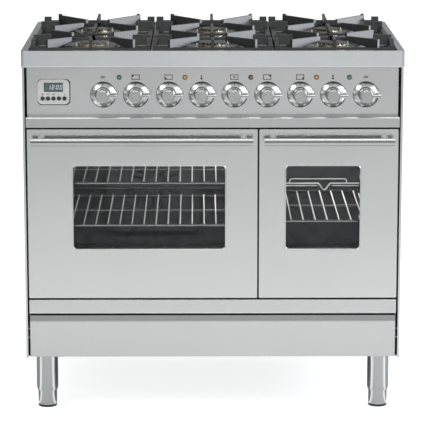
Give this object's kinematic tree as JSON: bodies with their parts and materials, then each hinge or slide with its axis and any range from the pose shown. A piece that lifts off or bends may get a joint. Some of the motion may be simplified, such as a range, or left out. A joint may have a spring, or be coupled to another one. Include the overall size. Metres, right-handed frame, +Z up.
{
  "type": "range cooker",
  "caption": "Free-standing dual-fuel range cooker with a gas hob over two side-by-side ovens, a front control panel with turning knobs, a bottom drawer and levelling feet.",
  "frame": {"origin": "on the floor under the middle of the whole object, handles included", "axes": "+Z up, +X to the right seen from the front, the front faces -Y"},
  "size_m": [0.9, 0.645, 0.9],
  "materials": {
    "brushed_panel": "fine brushed stainless steel",
    "polished_steel": "satin polished stainless steel",
    "painted_side": "grey satin paint on sheet steel",
    "galvanised": "dull zinc coating on sheet steel",
    "oven_enamel": "dark grey vitreous enamel",
    "hob_enamel": "gloss black enamel",
    "grate_iron": "matt black enamelled cast iron",
    "cast_aluminium": "dull cast aluminium",
    "ring_brass": "satin brass",
    "valve_brass": "plain brass",
    "cap_enamel": "satin black enamel",
    "ceramic": null,
    "lamp_lens": "clear coloured lens",
    "clock_plastic": "silver grey plastic",
    "lcd_glass": "dark display window",
    "button_plastic": "black plastic",
    "knob_metal": "polished with a brushed face",
    "chrome_wire": "bright plated wire",
    "element_steel": "dull heating tube",
    "lamp_glass": "clear glass dome",
    "oven_glass": "tinted toughened glass",
    "seal_rubber": "woven heat-proof seal"
  },
  "bodies": {
    "casing": {"side_panels": "painted_side", "back_panel": "galvanised", "base_tray": "galvanised", "front_frame": "oven_enamel", "oven_liner_left": "oven_enamel", "oven_liner_right": "oven_enamel", "shelf_guides": "chrome_wire", "control_panel": "brushed_panel", "front_ledge": "brushed_panel", "worktop": "brushed_panel", "hob_tray": "hob_enamel", "burner_bodies": "cast_aluminium", "flame_rings": "ring_brass", "burner_caps": "cap_enamel", "ignition_probes": "ceramic", "control_valves": "valve_brass", "indicator_lamps": "lamp_lens", "clock_case": "clock_plastic", "clock_display": "lcd_glass", "fan_cover": "oven_enamel", "fan_motor": "galvanised", "oven_lamps": "lamp_glass", "grill_elements": "element_steel", "wire_shelves": "chrome_wire", "leg_tubes": "polished_steel", "door_seals": "seal_rubber", "grate_left": "grate_iron", "grate_middle": "grate_iron", "grate_right": "grate_iron"},
    "left_door": {"door_left_skin": "brushed_panel", "door_left_inner": "oven_enamel", "door_left_glazing": "oven_glass", "door_left_handle": "polished_steel", "door_left_hinges": "galvanised"},
    "right_door": {"door_right_skin": "brushed_panel", "door_right_inner": "oven_enamel", "door_right_glazing": "oven_glass", "door_right_handle": "polished_steel", "door_right_hinges": "galvanised"},
    "drawer": {"drawer_front": "brushed_panel", "drawer_box": "galvanised"},
    "oven_fan": {"fan": "galvanised"},
    "knob_1": {"knob_1": "knob_metal"},
    "knob_2": {"knob_2": "knob_metal"},
    "knob_3": {"knob_3": "knob_metal"},
    "knob_4": {"knob_4": "knob_metal"},
    "knob_5": {"knob_5": "knob_metal"},
    "knob_6": {"knob_6": "knob_metal"},
    "knob_7": {"knob_7": "knob_metal"},
    "knob_8": {"knob_8": "knob_metal"},
    "knob_9": {"knob_9": "knob_metal"},
    "clock_button_1": {"clock_button_1": "button_plastic"},
    "clock_button_2": {"clock_button_2": "button_plastic"},
    "clock_button_3": {"clock_button_3": "button_plastic"},
    "clock_button_4": {"clock_button_4": "button_plastic"},
    "clock_button_5": {"clock_button_5": "button_plastic"},
    "foot_front_left": {"foot_front_left": "polished_steel"},
    "foot_front_right": {"foot_front_right": "polished_steel"},
    "foot_rear_left": {"foot_rear_left": "polished_steel"},
    "foot_rear_right": {"foot_rear_right": "polished_steel"}
  },
  "joints": [
    {"name": "left_door_hinge", "type": "hinge", "parent": "casing", "child": "left_door", "pos_m": [-0.1665, -0.266, 0.293], "axis": [1, 0, 0], "range_deg": [0, 90], "stiffness_Nm_per_rad": 4, "springref_deg": -28.65},
    {"name": "right_door_hinge", "type": "hinge", "parent": "casing", "child": "right_door", "pos_m": [0.2745, -0.266, 0.293], "axis": [1, 0, 0], "range_deg": [0, 90], "stiffness_Nm_per_rad": 2.4, "springref_deg": -28.65},
    {"name": "drawer_slide", "type": "slide", "parent": "casing", "child": "drawer", "axis": [0, -1, 0], "range_m": [0, 0.35]},
    {"name": "knob_1_turn", "type": "hinge", "parent": "casing", "child": "knob_1", "pos_m": [-0.2595, -0.2525, 0.77], "axis": [0, -1, 0], "range_deg": [-315, 0]},
    {"name": "knob_2_turn", "type": "hinge", "parent": "casing", "child": "knob_2", "pos_m": [-0.1819, -0.2525, 0.77], "axis": [0, -1, 0], "range_deg": [0, 210]},
    {"name": "knob_3_turn", "type": "hinge", "parent": "casing", "child": "knob_3", "pos_m": [-0.1043, -0.2525, 0.77], "axis": [0, -1, 0], "range_deg": [0, 210]},
    {"name": "knob_4_turn", "type": "hinge", "parent": "casing", "child": "knob_4", "pos_m": [-0.0267, -0.2525, 0.77], "axis": [0, -1, 0], "range_deg": [-270, 0]},
    {"name": "knob_5_turn", "type": "hinge", "parent": "casing", "child": "knob_5", "pos_m": [0.0509, -0.2525, 0.77], "axis": [0, -1, 0], "range_deg": [0, 210]},
    {"name": "knob_6_turn", "type": "hinge", "parent": "casing", "child": "knob_6", "pos_m": [0.1285, -0.2525, 0.77], "axis": [0, -1, 0], "range_deg": [0, 210]},
    {"name": "knob_7_turn", "type": "hinge", "parent": "casing", "child": "knob_7", "pos_m": [0.2061, -0.2525, 0.77], "axis": [0, -1, 0], "range_deg": [0, 210]},
    {"name": "knob_8_turn", "type": "hinge", "parent": "casing", "child": "knob_8", "pos_m": [0.2837, -0.2525, 0.77], "axis": [0, -1, 0], "range_deg": [-270, 0]},
    {"name": "knob_9_turn", "type": "hinge", "parent": "casing", "child": "knob_9", "pos_m": [0.3613, -0.2525, 0.77], "axis": [0, -1, 0], "range_deg": [-315, 0]},
    {"name": "clock_button_1_press", "type": "slide", "parent": "casing", "child": "clock_button_1", "axis": [0, 1, 0], "range_m": [0, 0.0012], "stiffness_N_per_m": 600, "springref_m": -0.0005},
    {"name": "clock_button_2_press", "type": "slide", "parent": "casing", "child": "clock_button_2", "axis": [0, 1, 0], "range_m": [0, 0.0012], "stiffness_N_per_m": 600, "springref_m": -0.0005},
    {"name": "clock_button_3_press", "type": "slide", "parent": "casing", "child": "clock_button_3", "axis": [0, 1, 0], "range_m": [0, 0.0012], "stiffness_N_per_m": 600, "springref_m": -0.0005},
    {"name": "clock_button_4_press", "type": "slide", "parent": "casing", "child": "clock_button_4", "axis": [0, 1, 0], "range_m": [0, 0.0012], "stiffness_N_per_m": 600, "springref_m": -0.0005},
    {"name": "clock_button_5_press", "type": "slide", "parent": "casing", "child": "clock_button_5", "axis": [0, 1, 0], "range_m": [0, 0.0012], "stiffness_N_per_m": 600, "springref_m": -0.0005},
    {"name": "foot_front_left_screw", "type": "slide", "parent": "casing", "child": "foot_front_left", "axis": [0, 0, -1], "range_m": [0, 0.03]},
    {"name": "foot_front_right_screw", "type": "slide", "parent": "casing", "child": "foot_front_right", "axis": [0, 0, -1], "range_m": [0, 0.03]},
    {"name": "foot_rear_left_screw", "type": "slide", "parent": "casing", "child": "foot_rear_left", "axis": [0, 0, -1], "range_m": [0, 0.03]},
    {"name": "foot_rear_right_screw", "type": "slide", "parent": "casing", "child": "foot_rear_right", "axis": [0, 0, -1], "range_m": [0, 0.03]},
    {"name": "fan_spin", "type": "hinge", "parent": "casing", "child": "oven_fan", "pos_m": [-0.151, 0.1945, 0.476], "axis": [0, -1, 0], "continuous": true}
  ]
}
